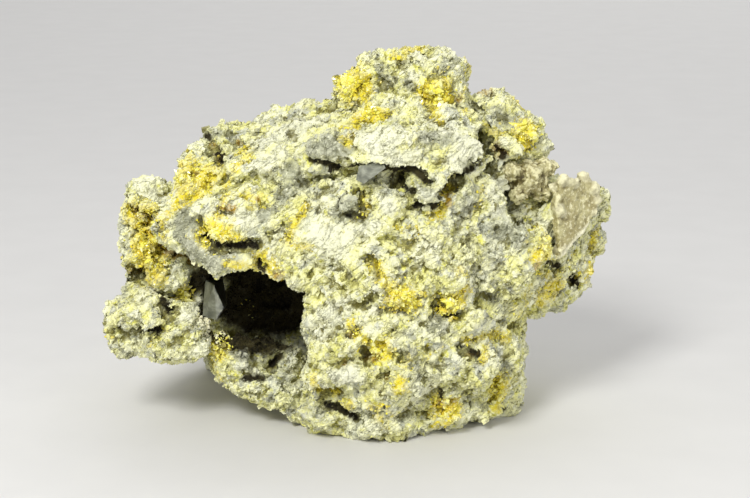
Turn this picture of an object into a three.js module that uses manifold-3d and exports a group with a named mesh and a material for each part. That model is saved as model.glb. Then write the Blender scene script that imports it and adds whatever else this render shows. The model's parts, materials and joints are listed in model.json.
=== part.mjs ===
// Native sulfur on its host rock: a loose broken lump of grey and cream limestone, about 200 mm wide,
// with groups of yellow sulfur crystals in its pockets, a tan calcite plate and crust on the right wing,
// a grey spar blade in the hollow under the left ledge and a spar chip under the brow. It stands on a
// flat broken base.
// Millimetres, +X to the right, +Y to the back, +Z up. The origin is on the ground, under the middle of
// the lump's box. Every crystal group is a solid of its own and sits in a socket cut in the rock.

import * as THREE from 'three';
import { ConvexGeometry } from 'three/addons/geometries/ConvexGeometry.js';
import { ImprovedNoise } from 'three/addons/math/ImprovedNoise.js';
import { TessellateModifier } from 'three/addons/modifiers/TessellateModifier.js';
import { mergeVertices } from 'three/addons/utils/BufferGeometryUtils.js';
import Module from 'manifold-3d';

// ---------------------------------------------------------------- driving dimensions, mm

const ROCK_EDGE = 30; // longest triangle edge on a broken face
const ROUGH_WAVE = 21; // width of the swells that break up a flat face
const ROUGH_DEPTH = 3.4; // how far they stand out or sink in
const LUMP_WAVE = 11; // width of the swells on a rounded lump
const LUMP_ROUGH = 0.25; // how far those stand out, as a share of the lump's smallest half size
const CAVE_EDGE = 26; // longest triangle edge on the wall of the hollow
const GROUND_SIZE = 300; // the block that planes the base flat
const SOCKET_GAP = 0.3; // clearance between a crystal group and the rock round it

// A sulfur crystal is an orthorhombic dipyramid: half lengths along its three axes, for a long axis of 1,
// and the share of each pyramid that is left below the flat end face.
const SULFUR_AXES = [0.42, 0.52, 1];
const SULFUR_CUT = 0.62;
const PLATE_THICKNESS = 4;
const PLATE_TURN = 35; // degrees that the calcite plate faces away to the right

const wasm = await Module();
wasm.setup();

// ---------------------------------------------------------------- shape helpers

const noise = new ImprovedNoise();

// A closed three.js geometry as a manifold-3d solid.
function solidOf(geometry) {
  const bare = new THREE.BufferGeometry();
  bare.setAttribute('position', geometry.getAttribute('position'));
  if (geometry.index) bare.setIndex(geometry.index);
  const merged = mergeVertices(bare, 1e-4);
  return new wasm.Manifold(
    new wasm.Mesh({
      numProp: 3,
      vertProperties: new Float32Array(merged.attributes.position.array),
      triVerts: new Uint32Array(merged.index.array),
    }),
  );
}

// A manifold-3d solid as a three.js geometry.
function geometryOf(solid) {
  const mesh = solid.getMesh();
  const points = new Float32Array(mesh.numVert * 3);
  for (let i = 0; i < mesh.numVert; i++) {
    points.set(mesh.vertProperties.subarray(i * mesh.numProp, i * mesh.numProp + 3), i * 3);
  }
  const geometry = new THREE.BufferGeometry();
  geometry.setAttribute('position', new THREE.BufferAttribute(points, 3));
  geometry.setIndex(new THREE.BufferAttribute(mesh.triVerts, 1));
  geometry.computeVertexNormals();
  return geometry;
}

// Moves every point by a smooth noise, so that a flat broken face turns lumpy. Points that start
// together stay together.
function roughen(geometry, depth = ROUGH_DEPTH, wave = ROUGH_WAVE) {
  const at = geometry.getAttribute('position');
  for (let i = 0; i < at.count; i++) {
    const [x, y, z] = [at.getX(i) / wave, at.getY(i) / wave, at.getZ(i) / wave];
    at.setXYZ(
      i,
      at.getX(i) + depth * noise.noise(x + 7.1, y, z),
      at.getY(i) + depth * noise.noise(x, y + 3.7, z),
      at.getZ(i) + depth * noise.noise(x, y, z + 5.3),
    );
  }
  return geometry;
}

// A broken block of rock: the hull of its corners, cut into small triangles and roughened.
function block(corners, edge = ROCK_EDGE) {
  const hull = new ConvexGeometry(corners.map((c) => new THREE.Vector3(...c)));
  const fine = new TessellateModifier(edge, 14).modify(hull);
  return solidOf(roughen(fine));
}

// A rounded lump: [x, y, z], then its half sizes along X, Y and Z, then its turn about Y in degrees.
function lump([x, y, z], [rx, ry, rz], turn = 0) {
  const geometry = new THREE.DodecahedronGeometry(1.08);
  geometry.scale(rx, ry, rz);
  geometry.rotateY(THREE.MathUtils.degToRad(turn));
  geometry.translate(x, y, z);
  return solidOf(roughen(geometry, LUMP_ROUGH * Math.min(rx, ry, rz), LUMP_WAVE));
}

function joined(solids) {
  return solids.reduce((whole, part) => whole.add(part));
}

// ---------------------------------------------------------------- the host rock

const BLOCKS = {
  front: [
    [-15, -46, 56], [-19, -46, 18], [-20, -32, -6], [-3, -30, -6], [17, -44, -6], [29, -34, -6],
    [42, -14, -6], [67, -10, -6], [65, -13, 6], [65, 8, -6], [58, -30, 40], [63, 0, 10], [66, -28, 71],
    [54, -31, 99], [40, -40, 98], [22, -42, 101], [2, -42, 100], [-12, -36, 99], [-15, -38, 84], [12, -56, 50],
    [-5, -52, 51], [17, -56, 28], [43, -44, 56], [67, 20, 30], [60, 45, -6], [-20, 40, -6], [60, 45, 60],
    [-15, 40, 60], [50, 40, 100],
  ],
  brow: [
    [-20, -28, 108], [-5, -36, 114], [17, -34, 119], [46, -22, 118], [49, -34, 103], [37, -45, 104],
    [17, -48, 108], [-1, -45, 107], [-17, -36, 105], [-20, -20, 96], [48, -20, 94], [-26, 20, 118],
    [-4, 10, 123], [45, 5, 124], [40, 42, 114], [-10, 45, 110],
  ],
  peak: [
    [-4, 5, 122], [3, 5, 139], [11, 8, 143], [20, 10, 143], [27, 10, 143], [37, 8, 142],
    [42, 8, 135], [45, 5, 122], [32, -18, 118], [6, -20, 118], [-8, 30, 110], [42, 30, 110],
  ],
  shoulder_slab: [
    [-70, 5, 95], [-68, 10, 99], [-62, 20, 110], [-50, 25, 113], [-32, 25, 118], [-18, 15, 121],
    [-59, -20, 93], [-71, -30, 81], [-73, -32, 77], [-61, -36, 70], [-52, -38, 70], [-39, -40, 69],
    [-24, -42, 62], [-16, -44, 58], [-9, -42, 88], [-20, 0, 70], [-60, 10, 75], [-20, 40, 105],
  ],
  left_block: [
    [-90, 0, 87], [-81, 5, 90], [-73, 8, 89], [-91, -10, 75], [-86, -14, 89], [-71, -26, 85],
    [-91, -5, 51], [-60, -10, 87], [-88, 25, 60], [-60, 20, 55],
  ],
  left_neck: [
    [-76, -5, 87], [-60, -20, 91], [-75, -29, 78], [-64, -33, 71], [-82, -16, 74], [-70, 20, 60],
    [-56, 10, 60], [-56, -20, 67],
  ],
  left_wall: [
    [-89, -2, 52], [-89, 0, 72], [-60, -6, 72], [-57, -8, 45], [-86, -4, 40], [-60, 44, 40],
    [-82, 34, 45], [-80, 36, 78], [-62, 42, 86], [-56, 20, 90],
  ],
  lower_left: [
    [-97, -20, 42], [-96, -22, 32], [-94, -15, 48], [-91, -8, 54], [-78, -23, 54], [-66, -28, 51],
    [-61, -31, 41], [-56, -34, 33], [-75, -25, 25], [-63, -28, 26], [-91, -20, 30], [-55, -20, 32],
    [-85, 20, 42], [-62, 22, 30],
  ],
  rubble: [
    [-54, -20, 30], [-55, -22, 20], [-52, -22, 15], [-46, -25, 14], [-39, -25, 12], [-31, -25, 12],
    [-24, -28, 11], [-20, -30, 6], [-16, -30, -2], [-55, -10, 26], [-41, -12, 22], [-25, -18, 22],
    [-52, 30, 20], [-15, 20, 2], [-15, -10, 25],
  ],
  right_shoulder: [
    [46, 5, 125], [50, 12, 126], [56, 15, 126], [63, 18, 124], [65, 20, 119], [69, 20, 114],
    [72, 20, 109], [76, 18, 106], [79, 15, 101], [77, 10, 98], [50, -6, 120], [54, -10, 107],
    [64, -3, 103], [72, 0, 99], [56, -12, 92], [75, 5, 85], [60, 40, 105], [40, 35, 110],
  ],
  right_wing: [
    [79, 15, 91], [82, 16, 91], [90, 18, 88], [98, 20, 84], [100, 20, 80], [100, 18, 77],
    [97, 15, 69], [97, 18, 60], [95, 20, 45], [90, 15, 43], [86, 12, 41], [84, 12, 36],
    [76, 5, 36], [68, 0, 36], [76, -4, 86], [92, 2, 80], [80, -8, 63], [72, -13, 60],
    [66, -13, 48], [87, -2, 65], [85, 40, 60], [60, 40, 40], [60, 30, 95],
  ],
  right_foot: [
    [66, 5, 32], [65, 5, 26], [64, 12, 16], [65, 5, 15], [62, 5, 9],
    [63, 8, 1], [66, 8, -6], [57, -10, 10], [54, -5, -6], [50, 40, 30], [60, 40, -6],
  ],
  back: [
    [-62, 52, -6], [-40, 58, -6], [50, 52, -6], [62, 30, -6], [-30, 20, -6], [-82, 22, 45],
    [-78, 36, 72], [-58, 46, 98], [-30, 50, 110], [30, 50, 114], [58, 42, 98], [82, 30, 66],
    [76, 30, 44], [-68, 54, 40], [0, 64, 58], [42, 60, 50], [-30, 10, 90], [50, 0, 90],
  ],
};

// Rounded lumps of the rock's skin: [centre], [half sizes], turn about Y in degrees.
const LUMPS = [
  // peak: three knobs, and the flank running down to the left of them
  [[9, 4, 134], [8, 10, 10]], [[22, 3, 133], [10, 11, 10]], [[35, 5, 134], [9, 11, 9]],
  [[-1, 5, 127], [9, 10, 8]], [[24, -14, 116], [24, 13, 10]],
  // brow, and the lobe that hangs under it
  [[16, -29, 113], [18, 15, 8]], [[37, -27, 110], [14, 14, 9], 20], [[-8, -27, 109], [14, 13, 8], -15],
  [[27, -39, 97], [7, 9, 8], 15],
  // shoulder: the lip over the hollow, and the slope above it
  [[-44, -28, 80], [20, 13, 10], 12], [[-62, -16, 83], [12, 12, 9]], [[-34, -10, 102], [24, 14, 8], -14],
  // left block and the lower left lobe
  [[-80, -4, 80], [11, 12, 9]], [[-73, -10, 58], [9, 10, 8]], [[-82, -17, 41], [15, 13, 11]],
  [[-67, -18, 38], [13, 12, 10], 25],
  // rubble along the foot of the hollow
  [[-46, -14, 22], [11, 12, 10]], [[-36, -16, 14], [12, 11, 8]],
  // front face
  [[-3, -33, 89], [14, 12, 10]], [[6, -42, 64], [19, 14, 13], -20], [[30, -38, 72], [18, 13, 13], 30],
  [[-3, -42, 32], [16, 13, 16]], [[38, -32, 32], [18, 14, 17], 20],
  // right side
  [[71, 14, 104], [8, 10, 6], 30], [[60, 8, 112], [11, 12, 10]], [[92, 17, 78], [8, 10, 9]],
  [[85, 14, 48], [11, 12, 9]], [[66, 10, 20], [5, 7, 4.5]],
  // back
  [[-42, 46, 64], [20, 13, 20], 20], [[22, 50, 74], [24, 14, 20], -20], [[4, 36, 107], [24, 14, 10]],
];

// The hollow under the left ledge: it opens to the front and runs back into the lump.
const HOLLOW = [
  [-60, -50, 66], [-38, -50, 65], [-24, -50, 57], [-17, -48, 53], [-16, -48, 38], [-19, -48, 22],
  [-34, -48, 31], [-52, -48, 35], [-60, -48, 46], [-60, 16, 56], [-30, 24, 54], [-27, 22, 36],
  [-56, 16, 36],
];

// The lump as it broke, before any socket is cut in it.
function brokenRock() {
  const blocks = Object.values(BLOCKS).map((corners) => block(corners));
  const lumps = LUMPS.map(([centre, size, turn]) => lump(centre, size, turn));
  const ground = new THREE.BoxGeometry(GROUND_SIZE, GROUND_SIZE, GROUND_SIZE);
  ground.translate(0, 0, -GROUND_SIZE / 2);
  return joined([...blocks, ...lumps])
    .subtract(block(HOLLOW, CAVE_EDGE))
    .subtract(solidOf(ground));
}

// ---------------------------------------------------------------- crystals and crusts

// A piece is a list of closed geometries that have grown into one, and its solid is their union.
function solidOfPiece(geometries) {
  return joined(geometries.map(solidOf));
}

// The socket of a piece: the hull of all its corners, swollen about its own middle until the gap is free
// all round.
function socketOfPiece(geometries) {
  const corners = [];
  for (const geometry of geometries) {
    const at = geometry.getAttribute('position');
    for (let i = 0; i < at.count; i++) corners.push(new THREE.Vector3().fromBufferAttribute(at, i));
  }
  const middle = new THREE.Box3().setFromPoints(corners).getCenter(new THREE.Vector3());
  const hull = new ConvexGeometry(corners);
  const factor = 1 + SOCKET_GAP / innerRadius(hull, middle);
  hull.translate(-middle.x, -middle.y, -middle.z).scale(factor, factor, factor);
  return solidOf(hull.translate(middle.x, middle.y, middle.z));
}

// Distance from a point inside a hull to the plane of its nearest face.
function innerRadius(geometry, centre) {
  const at = geometry.getAttribute('position');
  const plane = new THREE.Plane();
  const [a, b, c] = [new THREE.Vector3(), new THREE.Vector3(), new THREE.Vector3()];
  let nearest = Infinity;
  for (let i = 0; i < at.count; i += 3) {
    a.fromBufferAttribute(at, i);
    b.fromBufferAttribute(at, i + 1);
    c.fromBufferAttribute(at, i + 2);
    plane.setFromCoplanarPoints(a, b, c);
    nearest = Math.min(nearest, Math.abs(plane.distanceToPoint(centre)));
  }
  return nearest;
}

// One dipyramid along +Z with flat ends, centred on the origin, of the given half length.
function sulfurCrystal(half) {
  const [a, b, c] = SULFUR_AXES.map((share) => share * half);
  const left = 1 - SULFUR_CUT;
  const points = [[a, 0, 0], [-a, 0, 0], [0, b, 0], [0, -b, 0]];
  for (const side of [-1, 1]) {
    const end = side * c * SULFUR_CUT;
    points.push([a * left, 0, end], [-a * left, 0, end], [0, b * left, end], [0, -b * left, end]);
  }
  return new ConvexGeometry(points.map((p) => new THREE.Vector3(...p)));
}

// A group of sulfur crystals: a low mound on the rock with crystals standing out of it. at is the point
// on the rock, out the way the group faces, size its width, height and depth.
function sulfurGroup({ at, out, size, count, half, seed }) {
  const [width, height, depth] = size;
  const facing = new THREE.Vector3(...out).normalize();
  const turn = new THREE.Matrix4().lookAt(facing, new THREE.Vector3(), new THREE.Vector3(0, 0, 1));
  turn.setPosition(...at);
  const mound = new THREE.DodecahedronGeometry(1).scale(width / 2, height / 2, depth / 2);
  const pieces = [mound.applyMatrix4(turn)];
  THREE.MathUtils.seededRandom(seed);
  const random = () => THREE.MathUtils.seededRandom();
  for (let i = 0; i < count; i++) {
    const around = (i / count) * 2 * Math.PI + 0.6 * random();
    const reach = i % 3 === 0 ? 0.12 : 0.5 + 0.2 * random();
    const lean = new THREE.Vector3(Math.cos(around) * reach, Math.sin(around) * reach, 0.75);
    const axis = lean.clone().normalize();
    const crystal = sulfurCrystal(half * (0.75 + 0.5 * random()));
    crystal.rotateZ(2 * Math.PI * random());
    crystal.applyQuaternion(new THREE.Quaternion().setFromUnitVectors(new THREE.Vector3(0, 0, 1), axis));
    crystal.translate(0.5 * width * lean.x, 0.5 * height * lean.y, 0.5 * depth * lean.z);
    pieces.push(crystal.applyMatrix4(turn));
  }
  return pieces;
}

const SULFUR_GROUPS = {
  sulfur_left_pocket: { at: [-80, -15, 73], out: [-3, -9, 2], size: [16, 27, 9], count: 6, half: 4.5 },
  sulfur_shoulder_crust: { at: [-62, -13, 93], out: [-4, -7, 6], size: [20, 15, 7], count: 6, half: 4 },
  sulfur_ledge_cluster: { at: [-52, -39, 80], out: [-1, -9, 0], size: [17, 13, 8], count: 5, half: 4 },
  sulfur_peak_flank: { at: [-2, -3, 130], out: [-5, -7, 4], size: [11, 16, 8], count: 5, half: 4 },
  sulfur_neck_cluster: { at: [7, -19, 120], out: [-1, -8, 5], size: [16, 10, 7], count: 4, half: 4 },
  sulfur_peak_pocket: { at: [32, -8, 128], out: [1, -9, 4], size: [16, 14, 8], count: 5, half: 4.5 },
  sulfur_right_shoulder: { at: [67, 1, 110], out: [3, -9, 3], size: [10, 11, 8], count: 4, half: 4 },
  sulfur_right_edge: { at: [71, -9, 68], out: [1, -9, 0], size: [11, 14, 9], count: 5, half: 4.5 },
  sulfur_face_centre: { at: [18, -53, 59], out: [0, -9, 1], size: [12, 10, 7], count: 4, half: 4 },
  sulfur_face_right: { at: [35, -46, 54], out: [0, -9, 1], size: [10, 9, 7], count: 4, half: 4 },
  sulfur_lower_pocket: { at: [9, -53, 39], out: [0, -9, -1], size: [14, 10, 7], count: 5, half: 4 },
  sulfur_foot_cluster: { at: [35, -37, 11], out: [1, -9, -1], size: [16, 9, 7], count: 5, half: 3.5 },
  sulfur_lower_right: { at: [56, -25, 15], out: [5, -8, 0], size: [7, 14, 6], count: 4, half: 3.5 },
  sulfur_cave_cluster: { at: [-67, -9, 48], out: [3, -8, 0], size: [7, 13, 8], count: 4, half: 3.5 },
  sulfur_cave_floor: { at: [-52, -21, 30], out: [0, -9, 3], size: [8, 13, 7], count: 4, half: 3.5 },
};

// The calcite crust: rounded knobs grown into one another.
function calciteCrust() {
  const knobs = [
    [[67, -3, 94], [9, 5, 8]], [[60, -6, 97], [5, 5, 5]], [[74, 1, 97], [6, 5, 5]],
    [[73, 0, 88], [6, 5, 5]], [[64, -6, 88], [5, 5, 4.5]], [[69, -6, 95], [5, 4, 5]],
  ];
  return knobs.map(([centre, half]) => new THREE.DodecahedronGeometry(1).scale(...half).translate(...centre));
}

// The calcite plate: a flat broken plate that leans on the wing, with a notch in its upper edge and a
// tail that runs down to the left.
function calcitePlate() {
  const outline = [
    [-8, 14], [-3, 15], [-1, 11.5], [2.5, 12], [9.5, 8.5], [10.5, 6], [9, -1], [4.5, -9.5],
    [-0.5, -13], [-8, -19], [-8.5, -12], [-9.5, -4.5], [-11.5, 4.5],
  ];
  const shape = new THREE.Shape(outline.map(([x, y]) => new THREE.Vector2(x, y)));
  const plate = new THREE.ExtrudeGeometry(shape, { depth: PLATE_THICKNESS, bevelEnabled: false });
  plate.translate(0, 0, -PLATE_THICKNESS / 2).rotateX(Math.PI / 2);
  plate.rotateZ(THREE.MathUtils.degToRad(PLATE_TURN)).translate(86, -1, 80);
  return [plate];
}

// The spar blade is a thin wedge of grey spar that stands out of the left wall of the hollow, and the
// spar chip is a small broken wedge of it, caught under the brow.
const SPAR_BLADE = [
  [-59, -6, 52], [-58, -12, 55], [-54, -20, 55], [-50, -23, 47], [-53, -24, 42], [-59, -18, 42],
  [-58, 10, 44], [-53, 10, 50], [-50, -8, 44],
];
const SPAR_CHIP = [
  [1, -46, 102], [4, -49, 101], [6, -50, 103], [12, -48, 107], [11, -45, 109], [2, -45, 107],
  [3, -38, 103], [11, -38, 106],
];

function sparWedge(corners) {
  return [new ConvexGeometry(corners.map((corner) => new THREE.Vector3(...corner)))];
}

// ---------------------------------------------------------------- the whole lump

const COLOURS = {
  rock: { color: '#d9d5a8', roughness: 0.9 },
  sulfur: { color: '#e0c828', roughness: 0.35 },
  calcite: { color: '#a8976b', roughness: 0.5 },
  spar: { color: '#6f747a', roughness: 0.3 },
};

const pieces = Object.entries(SULFUR_GROUPS).map(([name, group], index) => ({
  name,
  look: COLOURS.sulfur,
  geometries: sulfurGroup({ ...group, seed: index + 1 }),
}));
pieces.push({ name: 'calcite_crust', look: COLOURS.calcite, geometries: calciteCrust() });
pieces.push({ name: 'calcite_plate', look: COLOURS.calcite, geometries: calcitePlate() });
pieces.push({ name: 'spar_blade', look: COLOURS.spar, geometries: sparWedge(SPAR_BLADE) });
pieces.push({ name: 'spar_chip', look: COLOURS.spar, geometries: sparWedge(SPAR_CHIP) });

// The rock is what is left of the lump between the sockets, without any chip that they cut loose.
function hostRock() {
  const cut = pieces.reduce((rock, piece) => rock.subtract(socketOfPiece(piece.geometries)), brokenRock());
  return cut.decompose().reduce((most, part) => (part.volume() > most.volume() ? part : most));
}

const group = new THREE.Group();

function addMesh(name, solid, look) {
  const mesh = new THREE.Mesh(geometryOf(solid), new THREE.MeshStandardMaterial({ ...look, metalness: 0 }));
  mesh.name = name;
  group.add(mesh);
}

addMesh('host_rock', hostRock(), COLOURS.rock);
for (const piece of pieces) {
  addMesh(piece.name, solidOfPiece(piece.geometries), piece.look);
}

// The lump is moved so that the middle of its box is over the origin.
const box = new THREE.Box3().setFromObject(group);
group.position.set(-(box.min.x + box.max.x) / 2, -(box.min.y + box.max.y) / 2, 0);

export default group;
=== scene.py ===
# Native sulfur on its host rock: a loose broken lump of crumbly grey and cream limestone, about 200 mm
# wide, with crusts of yellow sulfur crystals in its pockets, tan calcite on its right wing and a little
# grey spar. It stands on its flat base.

import json
import math

import bpy
import numpy as np
from mathutils import Matrix, Vector
from mathutils.bvhtree import BVHTree

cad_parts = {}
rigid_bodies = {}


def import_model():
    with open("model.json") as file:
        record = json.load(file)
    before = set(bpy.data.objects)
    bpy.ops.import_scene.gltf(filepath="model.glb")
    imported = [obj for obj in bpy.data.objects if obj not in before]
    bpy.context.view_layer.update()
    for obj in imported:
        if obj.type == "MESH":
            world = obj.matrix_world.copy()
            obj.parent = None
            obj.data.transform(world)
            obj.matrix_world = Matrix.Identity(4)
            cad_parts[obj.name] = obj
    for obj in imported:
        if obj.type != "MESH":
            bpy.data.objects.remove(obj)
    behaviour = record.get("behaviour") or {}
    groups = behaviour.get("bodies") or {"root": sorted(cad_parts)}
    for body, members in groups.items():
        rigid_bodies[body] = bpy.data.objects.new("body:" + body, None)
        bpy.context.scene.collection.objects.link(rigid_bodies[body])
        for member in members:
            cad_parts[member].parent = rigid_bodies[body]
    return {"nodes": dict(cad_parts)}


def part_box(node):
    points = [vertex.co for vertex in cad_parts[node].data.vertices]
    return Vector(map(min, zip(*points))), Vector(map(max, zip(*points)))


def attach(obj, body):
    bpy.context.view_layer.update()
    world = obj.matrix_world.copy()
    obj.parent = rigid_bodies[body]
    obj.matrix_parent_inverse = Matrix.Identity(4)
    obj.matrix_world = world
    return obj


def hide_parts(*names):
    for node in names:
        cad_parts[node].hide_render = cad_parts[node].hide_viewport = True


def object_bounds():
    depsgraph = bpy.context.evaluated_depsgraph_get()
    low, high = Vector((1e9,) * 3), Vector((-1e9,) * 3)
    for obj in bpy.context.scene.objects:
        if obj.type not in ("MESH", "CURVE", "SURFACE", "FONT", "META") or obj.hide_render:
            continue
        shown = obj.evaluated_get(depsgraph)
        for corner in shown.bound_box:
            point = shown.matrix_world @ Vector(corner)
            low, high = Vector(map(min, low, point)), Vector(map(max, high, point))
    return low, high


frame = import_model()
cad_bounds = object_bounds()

MM = 0.001


# ---------------------------------------------------------------- table, lamps and camera
# The lump stands on a plain pale table top. One large soft lamp stands high to the left in front of it,
# a weak one to the right, and a third behind, so that the back can be seen too.

def linear(code):
    """An sRGB hex colour as linear red, green, blue and 1."""
    values = [int(code[i:i + 2], 16) / 255 for i in (1, 3, 5)]
    return [v / 12.92 if v <= 0.04045 else ((v + 0.055) / 1.055) ** 2.4 for v in values] + [1]


def node(tree, kind, links=(), **settings):
    """Adds a node. A setting named for one of its sockets sets that socket, and links joins sockets."""
    made = tree.nodes.new(kind)
    for name, value in settings.items():
        if hasattr(made, name):
            setattr(made, name, value)
        else:
            made.inputs[name.replace("_", " ")].default_value = value
    for socket, source in dict(links).items():
        tree.links.new(source, made.inputs[socket])
    return made


def new_material(name):
    made = bpy.data.materials.new(name)
    made.use_nodes = True
    made.node_tree.nodes.clear()
    return made, made.node_tree


def mixed(tree, factor, below, above, blend="MIX"):
    """below, with above over it by factor. A colour is a hex code or a socket."""
    made = node(tree, "ShaderNodeMix", data_type="RGBA", blend_type=blend)
    colours = [socket for socket in made.inputs if socket.type == "RGBA"]
    for socket, value in zip([made.inputs["Factor"]] + colours, (factor, below, above)):
        if isinstance(value, str):
            socket.default_value = linear(value)
        elif isinstance(value, (int, float)):
            socket.default_value = value
        else:
            tree.links.new(value, socket)
    return [socket for socket in made.outputs if socket.type == "RGBA"][0]


TABLE_SIZE = 8.0
TABLE_MOTTLES = 300.0  # across its width
table_paint, tree = new_material("matt_white_table_paint")
speck = node(tree, "ShaderNodeTexNoise", Scale=TABLE_MOTTLES, Detail=2.0).outputs["Fac"]
paint = node(tree, "ShaderNodeBsdfPrincipled", {"Base Color": mixed(tree, speck, "#D4D3CF", "#DAD9D5")},
             Roughness=0.8)
node(tree, "ShaderNodeOutputMaterial", {"Surface": paint.outputs["BSDF"]})

bpy.ops.object.select_all(action="DESELECT")
bpy.ops.mesh.primitive_plane_add(size=TABLE_SIZE, location=(0, 0, 0))
table = bpy.context.object
table.name = "table_top"
table.data.materials.append(table_paint)

world = bpy.data.worlds.new("studio")
bpy.context.scene.world = world
world.use_nodes = True
world.node_tree.nodes["Background"].inputs["Color"].default_value = linear("#F4F4F8")
world.node_tree.nodes["Background"].inputs["Strength"].default_value = 0.58

LAMPS = {
    "key": dict(place=(-0.36, -0.80, 0.80), size=0.32, watts=9.8),
    "fill": dict(place=(0.75, -0.85, 0.35), size=0.8, watts=3.0),
    "back": dict(place=(0.45, 1.6, 1.5), size=2.4, watts=16.0),
}
LAMP_TARGET = Vector((0, 0, 0.07))
for name, lamp in LAMPS.items():
    bpy.ops.object.light_add(type="AREA", location=lamp["place"])
    light = bpy.context.object
    light.name = name + "_lamp"
    light.data.size = lamp["size"]
    light.data.energy = lamp["watts"]
    light.rotation_euler = (LAMP_TARGET - Vector(lamp["place"])).to_track_quat("-Z", "Y").to_euler()

CAMERA_TURN_UP = math.radians(14)
CAMERA_DISTANCE = 0.74
CAMERA_AIM = Vector((0.006, -0.0033, 0.0645))
back_along_view = Vector((0, -math.cos(CAMERA_TURN_UP), math.sin(CAMERA_TURN_UP)))
bpy.ops.object.camera_add(location=CAMERA_AIM + CAMERA_DISTANCE * back_along_view)
camera = bpy.context.object
camera.rotation_euler = (math.pi / 2 - CAMERA_TURN_UP, 0, 0)
camera.data.lens = 90
camera.data.sensor_width = 36
bpy.context.scene.camera = camera
bpy.context.scene.view_settings.view_transform = "Standard"


# ---------------------------------------------------------------- host rock
# The lump itself: vuggy, crumbly limestone, broken out of the bed with all its knobs, ledges and holes.
# It is one piece. Its skin is modelled over the plain rock that the frame holds.

def pick_only(piece):
    bpy.ops.object.select_all(action="DESELECT")
    piece.select_set(True)
    bpy.context.view_layer.objects.active = piece


def merged_copy(node_name, name):
    """A copy of a frame node's mesh with its loose triangles merged."""
    piece = bpy.data.objects.new(name, frame["nodes"][node_name].data.copy())
    bpy.context.scene.collection.objects.link(piece)
    piece.data.materials.clear()
    pick_only(piece)
    bpy.ops.object.mode_set(mode="EDIT")
    bpy.ops.mesh.select_all(action="SELECT")
    bpy.ops.mesh.remove_doubles(threshold=0.01 * MM)
    bpy.ops.object.mode_set(mode="OBJECT")
    return piece


def apply_modifier(piece, kind, **settings):
    pick_only(piece)
    modifier = piece.modifiers.new(kind.lower(), kind)
    for name, value in settings.items():
        setattr(modifier, name, value)
    bpy.ops.object.modifier_apply(modifier=modifier.name)


def points_of(mesh, what="co"):
    values = np.empty(len(mesh.vertices) * 3, np.float32)
    if what == "co":
        mesh.vertices.foreach_get("co", values)
    else:
        mesh.vertex_normals.foreach_get("vector", values)
    return values.reshape(-1, 3)


def set_points(mesh, values):
    mesh.vertices.foreach_set("co", np.asarray(values, np.float32).ravel())
    mesh.update()


def tree_of(piece):
    mesh = piece.data
    return BVHTree.FromPolygons([v.co for v in mesh.vertices], [p.vertices for p in mesh.polygons])


SKIN_VOXEL = 0.86 * MM
SKIN_TRIANGLES = 190_000
SOCKET_PLUG = 1.03  # a plug that overlaps its socket on all sides
PLUG_SUNK = 2.0 * MM
JOINT_SMOOTHING = 16

rock = merged_copy("host_rock", "rock_skin")
plugs = []
for name in frame["nodes"]:
    if name.startswith("sulfur_"):
        plug = merged_copy(name, "plug")
        low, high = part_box(name)
        bpy.ops.object.mode_set(mode="EDIT")
        bpy.ops.mesh.select_all(action="SELECT")
        bpy.ops.transform.resize(value=(SOCKET_PLUG,) * 3, center_override=(low + high) / 2)
        bpy.ops.transform.translate(value=(0, PLUG_SUNK, 0))
        bpy.ops.object.mode_set(mode="OBJECT")
        plugs.append(plug)

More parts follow.
